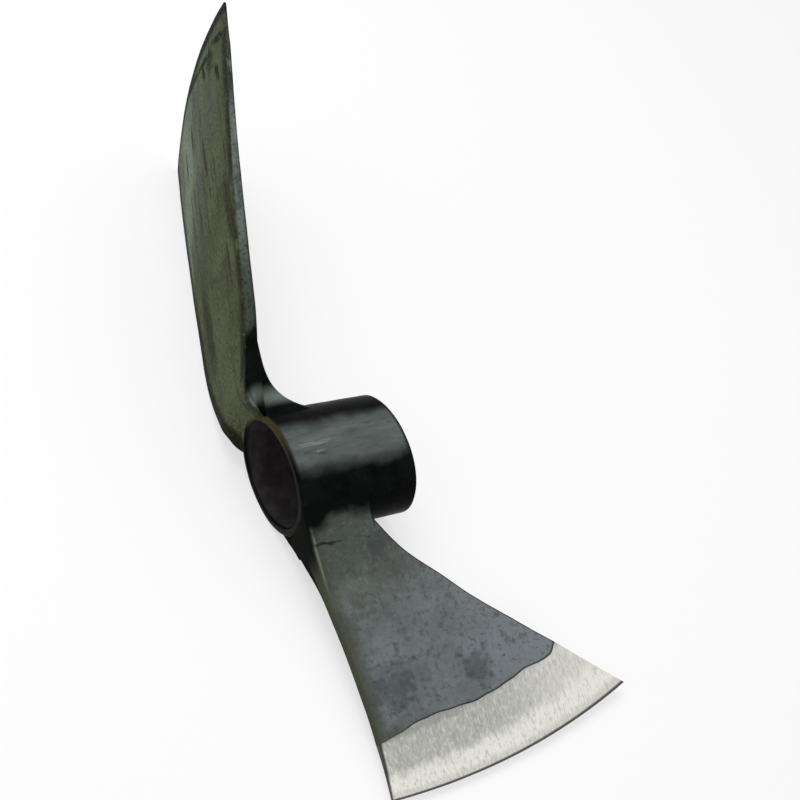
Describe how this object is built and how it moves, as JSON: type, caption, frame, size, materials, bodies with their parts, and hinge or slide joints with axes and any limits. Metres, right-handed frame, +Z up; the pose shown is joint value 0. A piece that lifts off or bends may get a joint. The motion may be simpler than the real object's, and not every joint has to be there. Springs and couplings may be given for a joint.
{
  "type": "mattock head",
  "caption": "Bare mattock head with a round handle eye, a broad swept hoe blade and a flared axe blade with a ground edge, for digging, grubbing and cutting roots.",
  "frame": {"origin": "centre of the handle eye, on the bore's axis and midway along the eye", "axes": "+X along the eye towards the hand, +Y from the axe to the hoe, +Z up; the head lies on its side, on the eye's flank and the hoe's lower corner, so its own mirror plane is turned about X by about 9 degrees"},
  "size_m": [0.1229, 0.3243, 0.1119],
  "materials": {
    "blackened_steel": "black forge scale, satin",
    "olive_scaled_steel": "olive grey forge scale with darker streaks, satin",
    "grey_scaled_steel": "mottled grey forge scale, satin",
    "ground_steel": "bright, coarsely ground across the edge"
  },
  "bodies": {
    "root": {"eye_socket": "blackened_steel", "hoe_blade": "olive_scaled_steel", "hoe_edge": "olive_scaled_steel", "hoe_root_weld": "blackened_steel", "axe_blade": "grey_scaled_steel", "axe_edge": "ground_steel", "axe_root_weld_upper": "grey_scaled_steel", "axe_root_weld_lower": "grey_scaled_steel"}
  },
  "joints": []
}
